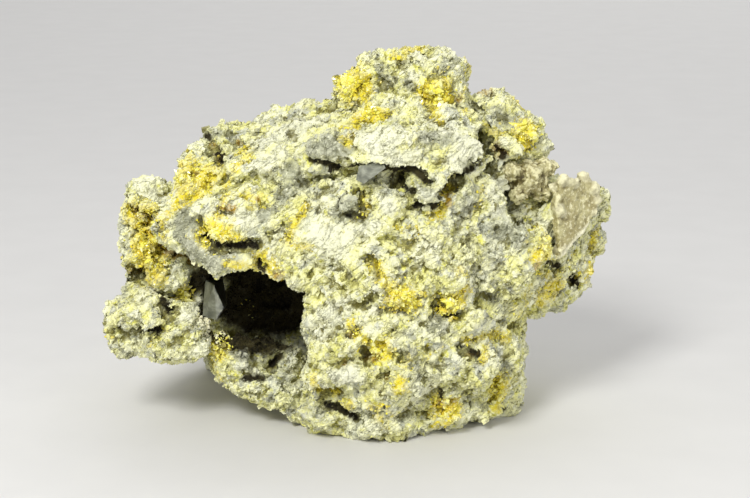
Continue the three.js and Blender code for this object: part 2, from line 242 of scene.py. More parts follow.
# The larger knobs of the skin: (x, z, half width, half height, how far it stands out), all in mm. Each is
# set on the rock where a line from the front at that x and z meets it.
KNOB_DEPTH = 0.8  # of its smaller half width
START_IN_FRONT = -0.3
KNOBS = [
    (-50, 84, 13, 9, 4), (-56, 88, 7, 6, 4), (-42, 90, 8, 6, 4), (-60, 75, 6, 8, 4), (-75, 80, 7, 5, 4),
    (-84, 90, 8, 5, 2), (-44, 70, 11, 5, 4), (-54, 69, 5, 6, 4), (-12, 80, 15, 9, 4), (-3, 93, 5, 5, 5),
    (11, 92, 7, 5, 5), (6, 86, 8, 6, 3), (26, 98, 7, 9, 5), (26, 79, 11, 7, 3), (-3, 41, 9, 8, 5),
    (-3, 31, 12, 7, 3), (16, 28, 8, 9, 4), (33, 66, 9, 6, 3), (55, 58, 9, 7, 2), (40, 47, 8, 7, 3),
    (33, 31, 9, 7, 4), (44, 30, 9, 8, 3), (57, 22, 5, 9, 3), (13, 113, 14, 8, 2), (38, 110, 9, 7, 2),
    (-8, 112, 12, 7, 3), (-26, 98, 10, 9, 3), (-90, 44, 6, 6, 4), (-92, 34, 7, 7, 3), (-81, 44, 9, 7, 4),
    (-74, 33, 9, 6, 4), (-48, 24, 7, 7, 4), (-40, 17, 7, 5, 4), (-30, 14, 7, 5, 4), (-34, 24, 6, 5, 3),
    (-26, 24, 5, 5, 3), (-16, 10, 8, 6, 3), (8, 7, 9, 5, 3), (28, 8, 8, 5, 3), (46, 7, 9, 5, 3),
    (96, 79, 6, 8, 3), (94, 64, 6, 7, 3), (88, 55, 7, 6, 3), (75, 53, 6, 5, 3), (80, 48, 6, 5, 3),
    (70, 44, 6, 6, 3), (77, 108, 6, 4, 2), (66, 112, 6, 5, 2), (54, 119, 9, 6, 2), (54, 106, 8, 5, 3),
    (3, 137, 5, 6, 2), (12, 139, 4, 5, 2), (22, 138, 6, 5, 2), (34, 137, 7, 7, 3), (36, 127, 6, 6, 3),
    (-62, 99, 8, 8, 2), (-56, 109, 6, 4, 2), (-66, 91, 6, 4, 3), (-22, 49, 8, 6, 4), (-22, 35, 7, 5, 4),
    (-22, 62, 5, 4, 3), (63, 78, 8, 9, 10), (59, 84, 6, 8, 9), (62, 71, 9, 9, 6), (-61, 45, 5, 3, 3),
    (67, 66, 9, 10, 5), (58, 64, 8, 10, 6), (-49, 66, 5, 4, 3), (-37, 63, 6, 4, 3), (-29, 60, 4, 4, 3),
    (-14, 24, 6, 5, 2),
]
rock_tree = tree_of(rock)


def front_at(x, z, of=None):
    """The point of the rock that a line from the front at this x and z, in mm, meets, or None."""
    hit = (of or rock_tree).ray_cast(Vector((x * MM, START_IN_FRONT, z * MM)), Vector((0, 1, 0)))
    return hit[0]


for x, z, half_width, half_height, out in KNOBS:
    place = front_at(x, z)
    if place is None:
        continue
    half_depth = KNOB_DEPTH * min(half_width, half_height)
    sunk = (half_depth - out) * MM
    bpy.ops.object.select_all(action="DESELECT")
    bpy.ops.mesh.primitive_ico_sphere_add(subdivisions=3, radius=MM, location=place + Vector((0, sunk, 0)),
                                          scale=(half_width, half_depth, half_height))
    plugs.append(bpy.context.object)

pick_only(rock)
for plug in plugs:
    plug.select_set(True)
bpy.ops.object.join()
bpy.ops.object.transform_apply(location=True, rotation=True, scale=True)
apply_modifier(rock, "REMESH", mode="VOXEL", voxel_size=SKIN_VOXEL)

# A sealed hollow inside the rock would leave loose faces: only the outer skin is kept.
pick_only(rock)
bpy.ops.object.mode_set(mode="EDIT")
bpy.ops.mesh.select_all(action="DESELECT")
bpy.ops.object.mode_set(mode="OBJECT")
leftmost = int(points_of(rock.data)[:, 0].argmin())
rock.data.vertices[leftmost].select = True
bpy.ops.object.mode_set(mode="EDIT")
bpy.ops.mesh.select_mode(type="VERT")
bpy.ops.mesh.select_linked()
bpy.ops.mesh.select_all(action="INVERT")
bpy.ops.mesh.delete(type="VERT")
bpy.ops.object.mode_set(mode="OBJECT")
apply_modifier(rock, "SMOOTH", factor=0.5, iterations=JOINT_SMOOTHING)

# Grooves and holes: the x and z of each place along it in turn, its half width and its depth, all in mm.
# They are pressed into the skin along its own slope.
PRESSED = [
    # under the brow
    ([-18, 107, -14, 107, -8, 104], 3, 2.5), ([-5, 107, 2, 107], 2.5, 2.5),
    ([9, 106, 14, 105, 20, 106, 25, 102], 3.4, 8.5), ([12, 101, 16, 100, 20, 97], 3, 6.5),
    ([21, 92, 25, 91, 30, 92], 3.2, 4.5), ([31, 97, 33, 99, 37, 101, 42, 104], 2.8, 7),
    ([43, 107], 2.6, 4), ([-8, 91, -6, 96, 1, 97, 4, 92, 1, 88, -5, 88], 2, 3),
    ([-22, 97, -15, 95, -10, 97], 2.2, 2), ([-11, 127, -11, 131, -10, 135], 6.5, 6.5),
    # under the white swell of the face
    ([-18, 66, -10, 70, -4, 68, -1, 64], 3, 3.5), ([3, 74, 6, 71], 3.5, 4.5),
    ([-12, 64, -7, 63], 2.5, 3), ([13, 79, 20, 79, 26, 76], 2.4, 2.5),
    ([22, 82, 26, 80, 27, 77], 2, 2.5),
    # middle and foot of the face
    ([29, 57, 29, 53, 32, 50, 37, 50], 3, 5), ([45, 60, 44, 56, 47, 52, 50, 54], 2.6, 4.5),
    ([38, 37, 42, 35, 45, 34], 2.8, 5.5), ([3, 37, 6, 39, 3, 34], 4.2, 7), ([10, 30, 9, 27], 3, 5),
    ([-10, 34, -5, 34, -1, 35], 2.2, 4.5), ([-5, 47, -2, 44], 2.4, 4), ([15, 37, 17, 35], 2.2, 3),
    ([26, 38], 2, 3), ([-16, 22, -12, 18, -8, 19], 3.4, 5.5), ([-12, 14, -6, 12, -2, 9], 3.2, 5),
    ([31, 20, 31, 16], 2.6, 4), ([18, 10, 24, 9, 28, 9], 2.6, 4), ([26, 30, 30, 30], 2.2, 3),
    ([59, 39, 62, 37], 2.4, 4), ([52, 44, 55, 42, 58, 44], 2.4, 3), ([37, 22, 41, 19], 2.4, 3),
    ([6, 56, 12, 55, 20, 53], 2, 2.5), ([24, 51, 28, 47], 2, 2.5), ([0, 56, 6, 60], 2, 2.5),
    # shoulder, ledge and left block
    ([-58, 106, -56, 104, -53, 102, -51, 98], 2.6, 4.2), ([-52, 107, -48, 106], 2.2, 3),
    ([-63, 97], 2.4, 3.5), ([-51, 89, -47, 89], 2.2, 4.5), ([-37, 91], 2.6, 4),
    ([-42, 95, -38, 93], 1.8, 2),
    ([-60, 84, -58, 79, -54, 76, -49, 75, -43, 75, -39, 75, -37, 70, -36, 66], 3, 5),
    ([-34, 79, -28, 83], 2, 2.5), ([-82, 80, -78, 80], 4.2, 6), ([-86, 84, -82, 83], 4, 3.5),
    ([-91, 76, -86, 74], 2.2, 3), ([-80, 74, -76, 69, -72, 65], 3, 4.5),
    ([-78, 68, -72, 62], 3.6, 4.5), ([-90, 57, -86, 56], 3.2, 6), ([-86, 68, -82, 66], 2, 2.5),
    ([-75, 50, -73, 46], 4, 6), ([-93, 40, -88, 38, -82, 39, -77, 40], 2.6, 4.5),
    ([-96, 36, -94, 33], 2.2, 3), ([-72, 36, -68, 38], 2.4, 3),
    # rubble
    ([-44, 19, -38, 19], 2.6, 4), ([-34, 22, -31, 26], 3, 4.5), ([-28, 17, -24, 14], 2.6, 3.5),
    ([-22, 28, -20, 22], 3, 5),
    # right side
    ([44, 122, 47, 116, 47, 110, 49, 105], 2, 3), ([52, 108, 54, 105, 51, 104], 3.6, 6),
    ([53, 80, 60, 82, 66, 77], 2.2, 2.5), ([73, 61, 78, 58], 3, 5), ([85, 51, 87, 48], 3.2, 5),
    ([70, 66, 67, 64], 2.8, 4), ([60, 100, 64, 103], 2, 2.5), ([68, 40, 74, 41], 2.4, 3.5),
    ([38, 128, 38, 124], 2.2, 3.5), ([27, 126, 27, 122], 2.2, 3), ([18, 132, 22, 129], 2, 2.5),
    ([8, 132, 12, 129, 18, 127], 2, 2.5), ([15, 140, 16, 135], 2.2, 3),
]
points = points_of(rock.data)
rock_tree = tree_of(rock)


def stretches(line):
    """The ends of each straight stretch between the places of a line on the rock, in metres."""
    ends = [front_at(x, z) for x, z in zip(line[::2], line[1::2])]
    ends = [np.array(end) for end in ends if end is not None]
    return list(zip(ends, ends[1:])) or [(end, end) for end in ends]


def eased(share):
    return share * share * (3 - 2 * share)


def nearness(points, line, half_width):
    """For each point, 1 on the line, falling smoothly to 0 at half a width away from it."""
    nearest = np.full(len(points), np.inf, np.float32)
    for start, end in stretches(line):
        reach = end - start
        length = max(float(reach @ reach), 1e-12)
        along = np.clip((points - start) @ reach / length, 0, 1)
        nearest = np.minimum(nearest, np.linalg.norm(points - start - along[:, None] * reach, axis=1))
    return eased(np.clip(1 - nearest / (half_width * MM), 0, 1))


def spot(points, middle, half_width, stretch):
    """For each point, 1 at the middle, falling smoothly to 0 at half a width away in a stretched space."""
    distance = np.linalg.norm((points - middle) * stretch, axis=1)
    return eased(np.clip(1 - distance / half_width, 0, 1))


GROOVE_SLOPE = 1.5  # how much wider than its floor a groove is at the top
press = np.zeros(len(points), np.float32)
for line, half_width, depth in PRESSED:
    press = np.maximum(press, depth * MM * nearness(points, line, GROOVE_SLOPE * half_width))

# The back is as broken as the front: wide hollows at places drawn at random.
REAR_HOLLOWS = 190
REAR_FACING = 0.75  # how squarely a place faces the back
ABOVE_BASE = 6 * MM
draw = np.random.default_rng(19)
normals = points_of(rock.data, "normal")
rear = np.nonzero((normals[:, 1] > REAR_FACING) & (points[:, 2] > ABOVE_BASE))[0]
for place in draw.choice(rear, REAR_HOLLOWS):
    half_width = draw.uniform(5, 17) * MM
    near = spot(points, points[place], half_width, draw.uniform(0.6, 1.7, 3))
    press = np.maximum(press, draw.uniform(0.3, 0.6) * half_width * near)
set_points(rock.data, points - normals * press[:, None])
apply_modifier(rock, "SMOOTH", factor=0.5, iterations=2)

# Worn places where the skin is smoother than elsewhere: places along it as above, half width in mm.
CALM = [
    ([-63, 87, -61, 80, -57, 74, -52, 71, -44, 70], 9), ([-54, 86, -47, 85, -41, 84], 7),
    ([-14, 79, -6, 81], 11), ([-30, 108, -18, 112], 12), ([6, 114, 16, 112], 9), ([36, 112], 8),
    ([26, 98], 6), ([11, 92], 6), ([-80, 91, -66, 89], 7), ([56, 118], 7), ([55, 82], 7),
]


def weigh(piece, name, weights):
    """A vertex group from weights of 0 to 1, in tenths."""
    group = piece.vertex_groups.new(name=name)
    for step in range(1, 11):
        chosen = np.nonzero(np.round(weights * 10) == step)[0].tolist()
        if chosen:
            group.add(chosen, step / 10, "REPLACE")


WEAR, CALM_FADE = 0.8, 1.3
points = points_of(rock.data)
rock_tree = tree_of(rock)
rough = np.ones(len(points), np.float32)
for line, half_width in CALM:
    rough = np.minimum(rough, 1 - WEAR * nearness(points, line, CALM_FADE * half_width))
weigh(rock, "rough", rough)

# The crumble of the skin, from swells down to grit: texture, cell in mm, depth in mm, direction. Cells
# that are each moved their own way leave broken corners, and hard noise leaves creases.
CRUMBLE = [
    ("swells", "CLOUDS", 17, 4.2, "RGB_TO_XYZ"),
    ("blocks", "BROKEN", 7, 1.5, "RGB_TO_XYZ"),
    ("twists", "CLOUDS", 5, 1.6, "RGB_TO_XYZ"),
    ("creases", "HARD", 4, 1.1, "NORMAL"),
    ("chips", "BROKEN", 2.6, 1.3, "RGB_TO_XYZ"),
    ("grit", "CLOUDS", 1.5, 1.0, "NORMAL"),
]
for name, kind, cell, depth, direction in CRUMBLE:
    texture = bpy.data.textures.new(name, "VORONOI" if kind == "BROKEN" else "CLOUDS")
    texture.noise_scale = cell * MM
    if kind == "BROKEN":
        texture.color_mode = "POSITION"
    else:
        texture.noise_depth = 2
        texture.noise_type = "HARD_NOISE" if kind == "HARD" else "SOFT_NOISE"
        texture.cloud_type = "COLOR" if direction == "RGB_TO_XYZ" else "GRAYSCALE"
    apply_modifier(rock, "DISPLACE", texture=texture, texture_coords="LOCAL", strength=depth * MM,
                   mid_level=0.5, direction=direction, vertex_group="" if name == "swells" else "rough")

# The beds of the rock show as thin flakes that climb from lower left to upper right.
FLAKE_LENGTH, FLAKE_THICKNESS, FLAKE_DEPTH = 18, 3.0, 2.4
BED_SLOPE = math.radians(42)
bpy.ops.object.empty_add(location=(0, 0, 0), rotation=(0, -BED_SLOPE, 0))
bed = bpy.context.object
bed.scale = (FLAKE_LENGTH * MM, FLAKE_LENGTH * MM, FLAKE_THICKNESS * MM)
flakes = bpy.data.textures.new("flakes", "CLOUDS")
flakes.noise_scale = 1
flakes.noise_depth = 2
bpy.context.view_layer.update()
apply_modifier(rock, "DISPLACE", texture=flakes, texture_coords="OBJECT", texture_coords_object=bed,
               strength=FLAKE_DEPTH * MM, mid_level=0.5, vertex_group="rough")
bpy.data.objects.remove(bed)

# The skin keeps its finest mesh in front, where its crystals are, and the base stays flat.
PAST_BOX = 0.5 * MM
cad_low, cad_high = (np.array(corner) for corner in cad_bounds)
points = np.clip(points_of(rock.data), cad_low - PAST_BOX, cad_high + PAST_BOX)
points[:, 2] = np.maximum(points[:, 2], 0)
set_points(rock.data, points)
normals = points_of(rock.data, "normal")
behind = np.clip(0.5 + 0.9 * normals[:, 1] + points[:, 1] / 0.1, 0.05, 1)
weigh(rock, "may_be_thinned", behind)
triangles = 2 * len(rock.data.polygons)
if triangles > SKIN_TRIANGLES:
    apply_modifier(rock, "DECIMATE", ratio=SKIN_TRIANGLES / triangles, vertex_group="may_be_thinned",
                   vertex_group_factor=1.0)
rock.vertex_groups.clear()
bpy.ops.object.shade_smooth()

# Stains of the skin by kind: places along it as above, half width in mm, strength. Sulfur stains it yellow
# where crystals have been, deeper hollows are amber, bare limestone is white or grey, and the dark strokes
# are painted shade along the crevices.
STAIN_FADE = 1.35
STAINS_AND_SHADE = {"yellow": [
    ([-66, 99, -64, 93, -58, 97], 9, 1), ([-54, 101, -50, 92, -52, 86], 4, 0.7),
    ([-46, 106, -42, 104, -48, 101], 4, 0.8), ([-42, 92, -38, 90], 6, 0.7),
    ([-68, 88, -74, 83, -73, 78], 5, 0.7), ([-88, 82, -80, 84], 7, 0.9),
    ([-84, 70, -78, 67, -86, 62, -80, 62], 8, 1), ([-83, 55, -76, 58], 6, 0.8),
    ([-57, 83, -52, 79, -44, 78], 4, 0.9), ([-36, 71, -32, 67, -28, 62], 6, 0.9),
    ([-20, 89, -24, 84, -26, 79], 4, 0.8), ([-24, 77, -19, 76], 4, 0.7), ([-78, 35, -77, 42], 4, 0.5),
    ([-95, 42, -96, 36], 4, 0.4), ([-56, 31, -57, 24, -55, 20], 4, 0.9), ([-48, 36, -44, 34], 4, 0.7),
    ([2, 132, -1, 134, -1, 128, 3, 126], 6, 1), ([4, 123, -1, 119, -4, 115], 4.5, 0.9),
    ([-9, 126, -16, 124], 5, 0.7), ([14, 141, 18, 142], 4, 0.8), ([25, 127, 28, 132, 33, 131], 5, 0.9),
    ([30, 121, 27, 124], 4, 0.8), ([40, 127, 40, 122], 4, 0.7), ([34, 135, 30, 136], 3, 0.4),
    ([63, 111, 65, 107], 6, 1), ([50, 114, 53, 110], 6, 0.6), ([69, 70, 73, 68, 67, 62], 7, 1),
    ([74, 52, 80, 51, 71, 46], 6, 0.8), ([94, 68, 93, 62], 5, 0.8), ([84, 59, 80, 56], 4, 0.5),
    ([29, 89, 31, 93, 33, 96], 5, 0.9), ([2, 89, 4, 92, 2, 95], 3.5, 0.8),
    ([16, 59, 20, 57, 13, 60], 6, 1), ([7, 71, 9, 67, 12, 63], 5, 0.8),
    ([33, 55, 37, 56, 38, 61], 5, 0.9), ([40, 66, 37, 68], 4, 0.6), ([6, 42, 10, 42], 5, 0.9),
    ([-3, 49, -1, 45, 2, 43], 3.5, 0.9), ([-17, 26, -14, 22, -8, 21], 4, 0.9), ([-3, 17, -5, 14], 4, 0.8),
    ([15, 28, 15, 25], 4.5, 1), ([17, 34, 19, 36], 4, 0.7), ([30, 15, 36, 13, 34, 6, 30, 5], 5, 0.9),
    ([51, 24, 52, 16, 53, 8], 4, 0.9), ([57, 35, 54, 38, 44, 40, 39, 40], 4, 0.8),
    ([47, 32, 47, 36], 3, 0.8), ([10, 8, 4, 17, 13, 13], 4, 0.6), ([43, 88, 46, 96], 4, 0.5),
    ([24, 36, 30, 38], 3, 0.5), ([63, 88, 66, 80], 3, 0.6), ([14, 84, 20, 83], 5, 0.4),
    ([60, 46, 66, 52], 6, 0.5), ([-48, 69, -42, 69, -38, 67], 4, 0.8),
], "amber": [
    ([-86, 84, -82, 82], 5, 0.9), ([-82, 79, -78, 81], 5, 1), ([-76, 68, -72, 64, -66, 62], 6, 0.9),
    ([-90, 57, -86, 56], 4, 0.8), ([32, 97, 33, 93], 3, 1), ([-51, 89, -47, 89], 2.5, 1),
    ([-38, 91], 2.5, 0.9), ([-63, 97], 2.5, 0.9), ([-58, 104, -54, 101], 3.5, 0.7),
    ([-48, 106, -45, 107], 3, 0.8), ([53, 107, 55, 105], 5, 0.9), ([4, 35, 7, 37], 4, 0.8),
    ([-5, 34], 3, 0.8), ([14, 58, 12, 60], 4, 0.5), ([30, 14, 36, 14], 4, 0.7), ([-3, 45], 3, 0.8),
    ([70, 66, 67, 66], 4, 0.8), ([38, 125], 3, 0.8), ([85, 50], 4, 0.8), ([-30, 65, -33, 62], 4, 0.8),
    ([10, 28], 3, 0.7), ([42, 34], 3, 0.8),
# Painted shade: dark strokes along the crevices under the brow, the ledges and the rubble.
], "painted_shade": [
    ([9, 106, 14, 105, 20, 106, 25, 102], 2.6, 1), ([12, 101, 16, 100, 20, 97], 2.2, 1),
    ([-18, 107, -14, 107, -8, 104, 2, 107], 1.8, 0.9), ([31, 97, 36, 101, 42, 104], 1.8, 1),
    ([21, 92, 29, 93], 2.2, 0.9), ([43, 107], 2.2, 1), ([-60, 108, -53, 101], 2.4, 1),
    ([-8, 91, -6, 96, 1, 97, 4, 92, 1, 88, -5, 88], 1, 0.8),
    ([-58, 79, -54, 76, -49, 75, -39, 75, -37, 70, -36, 66], 1.7, 1),
    ([29, 54, 32, 50, 37, 50], 1.8, 0.9), ([38, 37, 45, 34], 1.8, 0.9),
    ([-12, 14, -6, 12, -2, 9], 2.2, 0.9), ([53, 107, 55, 104], 2.4, 1), ([-44, 19, -38, 19], 2.2, 0.9),
    ([-34, 22, -31, 26], 2.4, 0.9), ([-22, 28, -20, 22], 2.4, 1),
    ([-93, 40, -82, 39, -77, 40], 1.8, 0.9), ([-75, 50, -73, 46], 2.6, 0.9), ([73, 61, 78, 58], 2, 0.9),
    ([85, 51, 87, 48], 2.2, 0.9), ([31, 20, 31, 16], 1.6, 0.8),
], "grey": [
    ([-18, 112, -12, 111, -5, 113, -12, 115], 7, 1), ([-26, 101, -22, 95, -28, 92], 8, 0.9),
    ([-36, 86, -31, 88], 5, 0.8), ([-64, 87, -65, 80, -61, 74, -54, 70, -48, 71], 7.5, 1.3),
    ([-76, 80, -72, 82], 4, 0.8), ([-3, 93, -7, 90, 2, 88], 7, 0.9), ([28, 116, 24, 117, 32, 115], 6, 0.9),
    ([7, 139, 12, 132, 18, 131], 5, 0.8), ([35, 140, 31, 136], 5, 0.8), ([10, 121, 14, 120], 4, 0.7),
    ([26, 98, 30, 95, 22, 100], 6, 0.8), ([41, 93, 38, 86, 44, 96], 6, 0.9),
    ([53, 80, 61, 76, 58, 84], 7, 0.9), ([43, 67, 46, 63], 5, 0.7), ([27, 47, 29, 50, 32, 46], 5, 0.9),
    ([13, 39, 20, 38, 23, 28], 6, 0.7), ([47, 57, 51, 53], 5, 0.9), ([56, 117, 60, 115, 52, 120], 7, 0.8),
    ([-57, 109, -51, 108], 5, 0.8), ([-60, 104], 4, 0.6), ([-40, 72, -50, 71], 6, 0.6),
    ([-90, 48, -92, 52, -76, 57], 5, 0.6), ([-80, 40, -70, 32], 5, 0.5),
    ([-44, 26, -36, 24, -28, 20], 6, 0.7), ([-20, 14, -14, 10], 6, 0.7), ([0, 12, 6, 14, 20, 12], 6, 0.7),
    ([40, 14, 46, 10, 56, 4], 6, 0.7), ([14, 54, 22, 52, 4, 56], 6, 0.5), ([72, 38, 78, 38], 5, 0.8),
    ([-34, 76, -28, 80, -22, 84], 5, 0.6), ([29, 88, 26, 84], 4, 0.5),
], "white": [
    ([-36, 110, -28, 112, -20, 116], 12, 0.9), ([-36, 100, -32, 106], 10, 0.8),
    ([4, 117, 14, 119, 8, 113], 9, 1), ([34, 118, 42, 114, 37, 108], 9, 1),
    ([14, 110, 20, 110], 8, 0.8), ([-53, 87, -46, 86, -41, 85], 7, 1),
    ([-84, 90, -72, 90, -64, 90], 7, 0.9), ([-14, 80, -6, 82, -10, 76], 10, 1), ([11, 92], 6, 1),
    ([6, 86, 2, 82], 6, 0.9), ([26, 79, 22, 76], 7, 0.8), ([53, 88, 50, 94, 58, 92], 8, 0.9),
    ([55, 76, 48, 72], 6, 0.6), ([-12, 50, -14, 44, -8, 54], 8, 0.9), ([6, 54], 5, 0.9),
    ([-8, 31, -3, 31], 7, 1), ([22, 18, 28, 22], 7, 0.8), ([40, 10, 36, 20], 6, 0.7), ([-3, 39], 5, 0.7),
    ([-84, 48, -80, 52, -76, 46], 7, 0.7), ([-66, 46, -57, 45], 5, 1), ([-44, 24, -41, 21], 6, 0.8),
    ([76, 108, 70, 109], 6, 0.7), ([88, 54, 92, 84], 6, 0.7), ([24, 131, 18, 136], 6, 0.8),
    ([-1, 123, -10, 121], 6, 0.6), ([2, 140], 5, 0.6), ([40, 62, 52, 62], 7, 0.6),
]}
KINDS = ("yellow", "amber", "grey", "white")
HALO = 2 * MM  # of yellow around each group of crystals
points = points_of(rock.data)
rock_tree = tree_of(rock)
stains_and_shade = {kind: np.zeros(len(points), np.float32) for kind in KINDS + ("painted_shade",)}
for kind, strokes in STAINS_AND_SHADE.items():
    for line, half_width, strength in strokes:
        stains_and_shade[kind] = np.maximum(stains_and_shade[kind], strength * nearness(points, line, STAIN_FADE * half_width))
for name in frame["nodes"]:
    if name.startswith("sulfur_"):
        low, high = (np.array(corner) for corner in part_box(name))
        away = np.linalg.norm((points - (low + high) / 2) / ((high - low) / 2 + HALO), axis=1)
        stains_and_shade["yellow"] = np.maximum(stains_and_shade["yellow"], np.clip(1.55 - 1.3 * away, 0, 0.9))

# Painted shade darkens the deep hollow under the ledge, from just behind its ragged mouth inwards.
SHADE_STARTS, SHADE_FADE, MOST_SHADE = 1.15, 0.35, 0.7
HOLLOW_MIDDLE, HOLLOW_HALF = np.array([-40, 0, 46]) * MM, np.array([30, 40, 24]) * MM
inwards = np.linalg.norm((points - HOLLOW_MIDDLE) / HOLLOW_HALF, axis=1)
stains_and_shade["painted_shade"] = np.maximum(stains_and_shade["painted_shade"], np.clip((SHADE_STARTS - inwards) / SHADE_FADE, 0, MOST_SHADE))
stains_and_shade["painted_shade"] *= 1 - nearness(points, [-66, 46, -57, 45], 6)  # clean white grains below the spar

# The back has the same stains, at places drawn at random.
BACK_STAINS = 110
KIND_SHARES = (0.36, 0.1, 0.3, 0.24)
draw = np.random.default_rng(41)
normals = points_of(rock.data, "normal")
hidden = np.nonzero((normals[:, 1] > 0.2) & (points[:, 1] > 0))[0]
for place in draw.choice(hidden, BACK_STAINS):
    kind = KINDS[draw.choice(len(KINDS), p=KIND_SHARES)]
    half_width = draw.uniform(5, 13) * MM
    near = spot(points, points[place], half_width, draw.uniform(0.7, 1.3, 3))
    stains_and_shade[kind] = np.maximum(stains_and_shade[kind], draw.uniform(0.5, 1.0) * near)

HOLLOW_REACH = 14  # edges
HOLLOW_SPAN = 1.6 * MM


def hollows(mesh):
    """How deep each point lies under the skin around it, from 0 on a knob to 1 in a crevice."""
    edges = np.empty(len(mesh.edges) * 2, np.int32)
    mesh.edges.foreach_get("vertices", edges)
    edges = edges.reshape(-1, 2)
    corners = points_of(mesh)
    ends_at = np.bincount(edges.ravel(), minlength=len(corners))[:, None]
    around = corners.copy()
    for _ in range(HOLLOW_REACH):
        total = np.zeros_like(around)
        np.add.at(total, edges[:, 0], around[edges[:, 1]])
        np.add.at(total, edges[:, 1], around[edges[:, 0]])
        around = total / ends_at
    under = np.einsum("ij,ij->i", around - corners, points_of(mesh, "normal"))
    return np.clip(0.5 + under / HOLLOW_SPAN, 0, 1).astype(np.float32)


# The materials paint shade into the crevices and a highlight onto the knobs from these values.
stains_and_shade["hollow"] = hollows(rock.data)


def give_attribute(mesh, name, values):
    attribute = mesh.attributes.new(name, "FLOAT", "POINT")
    attribute.data.foreach_set("value", np.asarray(values, np.float32))


for kind, values in stains_and_shade.items():
    give_attribute(rock.data, kind, values)

# Limestone, dull and chalky, stained by sulfur: cream ground with grey and white patches and yellow where
# crystals grew, painted olive shade in the crevices and a painted pale highlight on the knobs.
limestone, tree = new_material("chalky_limestone")
where = node(tree, "ShaderNodeTexCoord").outputs["Object"]


def noise(tree, size_mm, detail=4.0, rough=0.6, warp=0.0, along=None):
    """Soft random patches about size_mm across, from 0 to 1."""
    made = node(tree, "ShaderNodeTexNoise", {"Vector": along or where}, Scale=1 / (size_mm * MM),
                Detail=detail, Roughness=rough, Distortion=warp)
    return made.outputs["Fac"]


def ramp(tree, value, low, high):
    """0 up to low and 1 from high on."""
    made = node(tree, "ShaderNodeMapRange", {"Value": value}, interpolation_type="SMOOTHSTEP")
    made.inputs["From Min"].default_value = low
    made.inputs["From Max"].default_value = high
    return made.outputs["Result"]


def math_node(tree, operation, a, b):
    made = node(tree, "ShaderNodeMath", operation=operation)
    for socket, value in zip(made.inputs, (a, b)):
        if isinstance(value, (int, float)):
            socket.default_value = value
        else:
            tree.links.new(value, socket)
    return made.outputs["Value"]


def painted(tree, name):
    """The value that each point of a piece holds under this name."""
    return node(tree, "ShaderNodeAttribute", attribute_name=name).outputs["Fac"]


def stain_and_shade_mask(tree, name, patches, low, high):
    """Where a stain, or the painted shade of the dark strokes, shows: its attribute, broken up by patches of
    noise.
    """
    patches = math_node(tree, "MULTIPLY", patches, 0.9)
    return ramp(tree, math_node(tree, "ADD", painted(tree, name), patches), low, high)


bedded = node(tree, "ShaderNodeMapping", {"Vector": where}, vector_type="TEXTURE")
bedded.inputs["Rotation"].default_value = (0, -BED_SLOPE, 0)
bedded.inputs["Scale"].default_value = (2.0, 1.4, 0.8)

# Thin cracks wander along the beds: 1 on a crack, 0 away from it.
CRACK_WIDTH = 0.022
wander = noise(tree, 7, detail=5, warp=0.8, along=bedded.outputs["Vector"])
off_crack = math_node(tree, "ABSOLUTE", math_node(tree, "SUBTRACT", wander, 0.5), 0)
fine_cracks = ramp(tree, off_crack, CRACK_WIDTH, 0)

ground = mixed(tree, ramp(tree, noise(tree, 14), 0.38, 0.62), "#E8E696", "#F5F5CE")
ground = mixed(tree, ramp(tree, noise(tree, 7, warp=0.6), 0.52, 0.64), ground, "#C0C2AC")
ground = mixed(tree, ramp(tree, noise(tree, 5), 0.55, 0.66), ground, "#E8E67A")
ground = mixed(tree, ramp(tree, noise(tree, 3), 0.56, 0.68), ground, "#F0F0CC")
ground = mixed(tree, stain_and_shade_mask(tree, "white", noise(tree, 3.5), 0.85, 1.35), ground, "#EAEACA")
ground = mixed(tree, stain_and_shade_mask(tree, "grey", noise(tree, 2.9), 0.85, 1.35), ground, "#A6A78C")
ground = mixed(tree, stain_and_shade_mask(tree, "yellow", noise(tree, 2.6), 0.8, 1.35), ground, "#EAD93A")
ground = mixed(tree, stain_and_shade_mask(tree, "amber", noise(tree, 2.2), 0.8, 1.3), ground, "#B08E26")
ground = mixed(tree, ramp(tree, noise(tree, 1.7, detail=3), 0.57, 0.74), ground, "#AEAE80")
ground = mixed(tree, ramp(tree, noise(tree, 1.2, detail=3), 0.56, 0.7), ground, "#F2F2D0")
hollow = painted(tree, "hollow")
# Painted shade: olive darkening in the crevices, where the skin lies under its surroundings.
painted_crevice_shade = math_node(tree, "ADD", hollow, math_node(tree, "MULTIPLY", noise(tree, 2.4), 0.8))
ground = mixed(tree, ramp(tree, painted_crevice_shade, 0.95, 1.55), ground, "#8A8454", blend="MULTIPLY")
# Painted highlight: the knobs, where the skin stands out, are lightened towards cream white.
ground = mixed(tree, math_node(tree, "MULTIPLY", ramp(tree, hollow, 0.4, 0.05), 0.25), ground, "#FBFBE0")
ground = mixed(tree, math_node(tree, "MULTIPLY", fine_cracks, 0.35), ground, "#7A7856")
# Painted shade: the dark strokes and the hollow under the ledge are darkened to deep olive here.
ground = mixed(tree, stain_and_shade_mask(tree, "painted_shade", noise(tree, 4), 0.5, 1.1), ground, "#3E3826", blend="MULTIPLY")

fine = math_node(tree, "ADD", noise(tree, 0.9, detail=3), math_node(tree, "MULTIPLY", noise(tree, 2.0), 1.5))
fine = math_node(tree, "SUBTRACT", fine, math_node(tree, "MULTIPLY", fine_cracks, 0.8))
bump = node(tree, "ShaderNodeBump", {"Height": fine}, Strength=0.75, Distance=0.8 * MM)
chalk = node(tree, "ShaderNodeBsdfPrincipled",
             {"Base Color": ground, "Normal": bump.outputs["Normal"]}, Roughness=0.86)
chalk.inputs["Specular IOR Level"].default_value = 0.35
node(tree, "ShaderNodeOutputMaterial", {"Surface": chalk.outputs["BSDF"]})

rock.data.materials.append(limestone)
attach(rock, "root")
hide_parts("host_rock")


# ---------------------------------------------------------------- loose grains of the skin
# Limestone crumbs, most of them half a millimetre to 2 mm across, that cling to the skin all over, closest
# together in front. They are broken bits of the same rock, each lighter or darker than the next.

